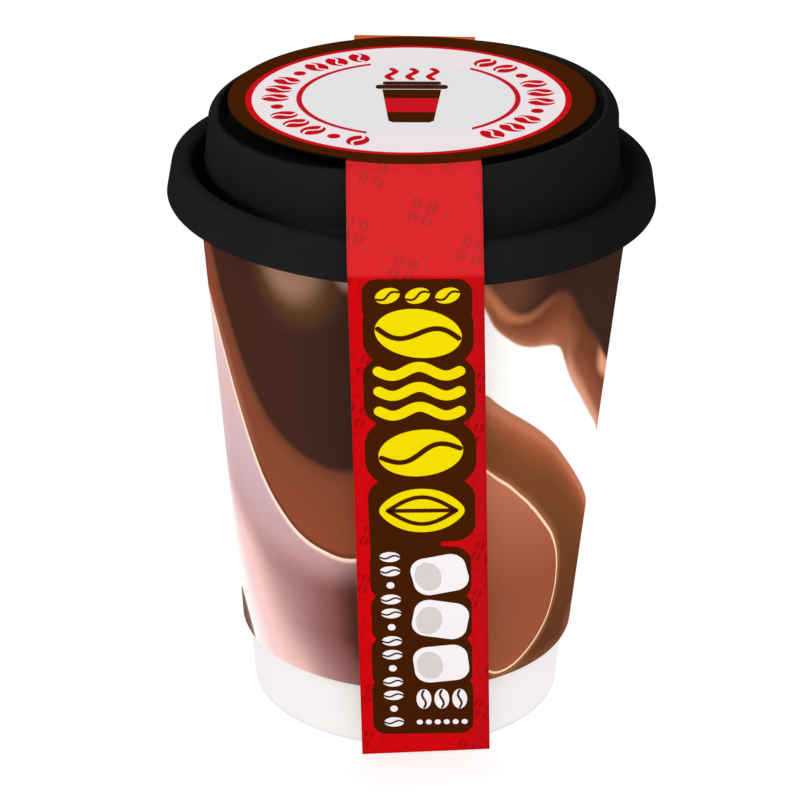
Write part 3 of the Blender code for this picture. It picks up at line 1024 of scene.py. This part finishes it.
def add_pod(bodies, slits, centre_u, centre_s, half_u, half_s):
    """A cocoa pod lying across: a pointed oval with three ribs."""
    outline = []
    steps = 72
    for i in range(steps):
        angle = math.tau * i / steps
        width = math.sin(angle) * (1.0 - 0.3 * abs(math.cos(angle)) ** 3)
        outline.append((centre_u + half_u * math.cos(angle), centre_s + half_s * width))
    bodies.add(outline)
    reach = half_u * 0.8
    for share in (-0.62, 0.0, 0.62):
        line = bend_line((centre_u - reach, centre_s), (centre_u + reach, centre_s), half_s * share, 0.5)
        slits.add(ribbon(line, half_s * 0.17))


# The dark panel on the front strip, as soft boxes: centre across, centre down from the fold,
# half width, half length and corner radius, in mm
PANEL_LOBES = [
    (0.1, 5.2, 9.9, 4.6, 2.8), (0.2, 11.8, 10.0, 7.0, 5.2), (0.2, 24.2, 10.2, 7.6, 4.6),
    (0.2, 37.7, 10.3, 7.6, 6.0), (0.2, 50.6, 10.0, 7.2, 4.4), (-3.0, 58.0, 6.7, 6.0, 1.0),
    (-0.3, 65.2, 9.6, 6.3, 3.6), (-0.3, 75.6, 9.6, 6.2, 3.4), (-0.4, 86.2, 9.7, 6.4, 3.4),
    (-0.4, 96.9, 9.8, 6.9, 2.6),
]
PANEL_ROWS = 420


def lobe_reach(lobe, s):
    """How far a soft box reaches left and right at one height, or None where it doesn't."""
    centre_u, centre_s, half_u, half_s, corner = lobe
    off = abs(s - centre_s)
    if off >= half_s:
        return None
    into_corner = max(0.0, off - (half_s - corner))
    reach = half_u - corner + math.sqrt(corner**2 - into_corner**2)
    return centre_u - reach, centre_u + reach


def panel_outline():
    left = []
    right = []
    first = PANEL_LOBES[0][1] - PANEL_LOBES[0][3]
    last = PANEL_LOBES[-1][1] + PANEL_LOBES[-1][3]
    for i in range(PANEL_ROWS + 1):
        s = first + (last - first) * (0.0001 + 0.9998 * i / PANEL_ROWS)
        reaches = [reach for reach in (lobe_reach(lobe, s) for lobe in PANEL_LOBES) if reach]
        left.append((min(reach[0] for reach in reaches), s))
        right.append((max(reach[1] for reach in reaches), s))
    return left + right[::-1]


def make_strip_print():
    """The front strip's panel, with cocoa beans, a pod and waves in yellow and marshmallows in white."""
    panel = Print("print_panel", FRONT.at, FILM)
    yellow = Print("print_yellow", FRONT.at, FILM * 2)
    white = Print("print_white", FRONT.at, FILM * 2)
    shade_grey = Print("print_grey", FRONT.at, FILM * 3)
    slits = Print("print_slits", FRONT.at, FILM * 3)
    panel.add(panel_outline())

    for u in (-5.2, 0.2, 5.6):
        add_bean(yellow, slits, u, 4.0, 2.3, 1.55, -20.0, 0.26)
    for s, turn in ((11.9, 8.0), (37.7, -8.0)):
        add_bean(yellow, slits, 0.2, s, 7.9, 5.1, turn, 0.2)
    for i in range(3):
        s = 19.9 + 4.3 * i
        yellow.add(ribbon(bend_line((-7.2, s), (7.6, s), 0.95, 1.5, 60), 2.1))
    add_pod(yellow, slits, 0.2, 50.6, 8.0, 4.9)

    for i in range(13):
        s = 61.2 + 3.3 * i
        if i % 3 == 2:
            white.add(oval(-6.1, s, 0.75, 0.75))
        else:
            add_bean(white, slits, -6.1, s, 1.95, 1.15, 0.0, 0.3)
    for s, turn in ((65.4, -12.0), (76.0, 10.0), (86.6, -6.0)):
        white.add(soft_box(3.3, s, 5.3, 4.3, 2.9, turn))
        shade_grey.add(oval(1.1, s + 0.3 - turn * 0.012, 2.5, 3.3, turn))
    for u in (-0.2, 3.3, 6.8):
        white.add(oval(u, 95.2, 1.45, 2.4))
        slits.add(ribbon(bend_line((u, 93.1), (u, 97.3), 0.35, 1.0), 0.42))
    for i in range(6):
        white.add(oval(-1.1 + 1.76 * i, 100.9, 0.6, 0.6))

    panel.finish("ink_brown", CARD_BROWN, DEEP_BROWN)
    yellow.finish("ink_yellow", CARD_YELLOW, (232, 208, 0))
    white.finish("ink_white", CARD_WHITE, (234, 228, 230))
    shade_grey.finish("ink_grey", (205, 196, 194), (214, 206, 204))
    slits.finish("ink_slits", CARD_BROWN, DEEP_BROWN)


def make_disc_print():
    """Round the disc a chain of red beans, and in the middle a plain steaming cup."""
    red = Print("disc_red", disc_point, FILM)
    brown = Print("disc_brown", disc_point, FILM)
    pale = Print("disc_pale", disc_point, FILM * 2)
    wrap = Print("disc_wrap", disc_point, FILM * 2)
    for start, end, count in CHAIN_ARCS:
        for i, (x, y) in enumerate(arc(PRINT_CENTRE, CHAIN_RADIUS, start, end, count - 1)):
            if i % 4 == 3:
                red.add(oval(x, y, 1.2, 1.2))
            else:
                add_bean(red, pale, x, y, 2.6, 2.05, start + (end - start) * i / (count - 1), 0.22)

    cx, cy = DISC_CUP_CENTRE
    cup_side = ((-5.6, 4.5), (-4.2, -13.0), (-3.4, -13.8))
    wrap_side = ((-5.15, -0.6), (-4.55, -8.4))
    for shapes, side in ((brown, cup_side), (wrap, wrap_side)):
        left = [(cx + x, cy + y) for x, y in side]
        right = [(cx - x, cy + y) for x, y in side]
        shapes.add(left + right[::-1])
    brown.add(soft_box(cx, cy + 6.1, 6.9, 1.15, 0.8))
    brown.add(soft_box(cx, cy + 8.3, 5.6, 0.85, 0.6))
    for x in (-4.0, 0.0, 4.0):
        red.add(ribbon(bend_line((cx + x, cy + 10.6), (cx + x, cy + 16.6), 0.75, 1.0), 1.2))

    red.finish("ink_disc_red", (190, 14, 26), (198, 20, 32))
    brown.finish("ink_disc_brown", CARD_BROWN, DEEP_BROWN)
    pale.finish("ink_disc_pale", (250, 236, 239), (246, 232, 236))
    wrap.finish("ink_disc_wrap", (196, 18, 30), (202, 24, 34))


def make_turned(name, mesh, material, slot, node, sharp):
    mesh.materials.append(material)
    shade(mesh, sharp)
    add_piece(name, mesh, slot, node)


def make_camera():
    """The photograph's view: a long lens, 25 degrees down."""
    distance = 598.09
    down = 0.441
    pivot_height = 60.0
    target = Vector((-2.058, 0.0, 61.245))
    roll = 0.017
    place = Vector((0.0, -distance * math.cos(down), pivot_height + distance * math.sin(down)))
    look = (target - place).normalized()
    right = look.cross(Vector((0, 0, 1))).normalized()
    up = right.cross(look)
    right_rolled = right * math.cos(roll) + up * math.sin(roll)
    up_rolled = up * math.cos(roll) - right * math.sin(roll)
    turn = Matrix((right_rolled, up_rolled, -look)).transposed().to_4x4()
    data = bpy.data.cameras.new("camera")
    data.lens = 135.0
    data.sensor_width = 36.0
    data.clip_start = 0.01
    data.clip_end = 20.0
    camera = bpy.data.objects.new("camera", data)
    camera.matrix_world = Matrix.Translation(place * MM) @ turn
    bpy.context.scene.collection.objects.link(camera)
    bpy.context.scene.camera = camera


def make_light(name, place, energy, size, tint):
    data = bpy.data.lights.new(name, "AREA")
    data.energy = energy
    data.size = size
    data.color = tint
    light = bpy.data.objects.new(name, data)
    light.location = place
    light.rotation_euler = (Vector((0, 0, 0.06)) - Vector(place)).to_track_quat("-Z", "Y").to_euler()
    bpy.context.scene.collection.objects.link(light)


def make_floor():
    mesh = bpy.data.meshes.new("floor")
    reach = 6.0
    corners = [(x * reach, y * reach, 0) for x, y in ((-1, -1), (1, -1), (1, 1), (-1, 1))]
    mesh.from_pydata(corners, [], [(0, 1, 2, 3)])
    graph = Graph("floor_paint", 0.9, 0.0)
    paint = graph.over((184, 184, 184), (187, 187, 187), graph.noise(0.02, 2.0))
    graph.put(paint, graph.shader["Base Color"])
    graph.shader["Emission Color"].default_value = (1.0, 1.0, 1.0, 1.0)
    graph.shader["Emission Strength"].default_value = 0.6
    mesh.materials.append(graph.material)
    floor = bpy.data.objects.new("floor", mesh)
    bpy.context.scene.collection.objects.link(floor)


def make_lights():
    world = bpy.data.worlds.new("studio")
    world.use_nodes = True
    background = world.node_tree.nodes["Background"]
    background.inputs["Color"].default_value = (1.0, 1.0, 1.0, 1.0)
    background.inputs["Strength"].default_value = 0.9
    bpy.context.scene.world = world
    make_light("key", (-0.2, -1.0, 0.9), 3.3, 1.3, (1.0, 0.99, 0.98))
    make_light("fill", (0.8, -0.6, 0.7), 0.6, 1.1, (0.98, 0.99, 1.0))


def build():
    make_turned("cup_paper", cup_mesh(), cup_material(), "white_paper", "cup", 40)
    make_turned("wrap_paper", wrap_mesh(), wrap_material(), "printed_paper", "sleeve", 40)
    make_turned("lid_shell", lid_mesh(), lid_material(), "black_plastic", "lid", 50)
    make_band()
    make_strip_print()
    make_disc_print()
    make_camera()
    make_floor()
    make_lights()
    bpy.context.scene.view_settings.view_transform = "Standard"


build()
